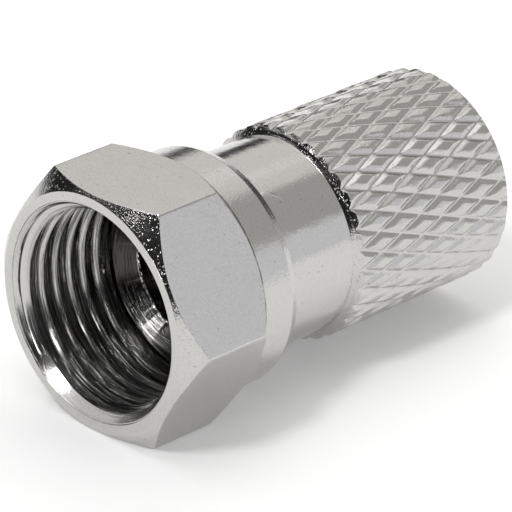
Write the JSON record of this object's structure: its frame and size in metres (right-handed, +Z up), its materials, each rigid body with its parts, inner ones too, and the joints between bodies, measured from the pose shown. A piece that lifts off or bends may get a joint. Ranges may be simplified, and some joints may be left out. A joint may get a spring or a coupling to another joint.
{
  "type": "f connector",
  "caption": "Twist-on coaxial cable plug: hexagonal coupling nut that spins on a tubular body with a diamond-knurled grip.",
  "frame": {"origin": "under the middle of the plug's length, on the plane of the hexagon's lower flat", "axes": "+Y along the plug's axis, from the mouth of the nut toward the cable end; +Z up, square to the flat that the nut lies on"},
  "size_m": [0.0128, 0.0208, 0.011],
  "materials": {
    "nut_plating": "bright nickel plate over turned brass",
    "body_plating": "bright nickel plate over turned and knurled brass"
  },
  "bodies": {
    "connector_body": {"connector_body": "body_plating"},
    "coupling_nut": {"coupling_nut": "nut_plating"}
  },
  "joints": [
    {"name": "nut_spin", "type": "hinge", "parent": "connector_body", "child": "coupling_nut", "pos_m": [0, -0.00373, 0.0055], "axis": [0, 1, 0], "continuous": true}
  ]
}
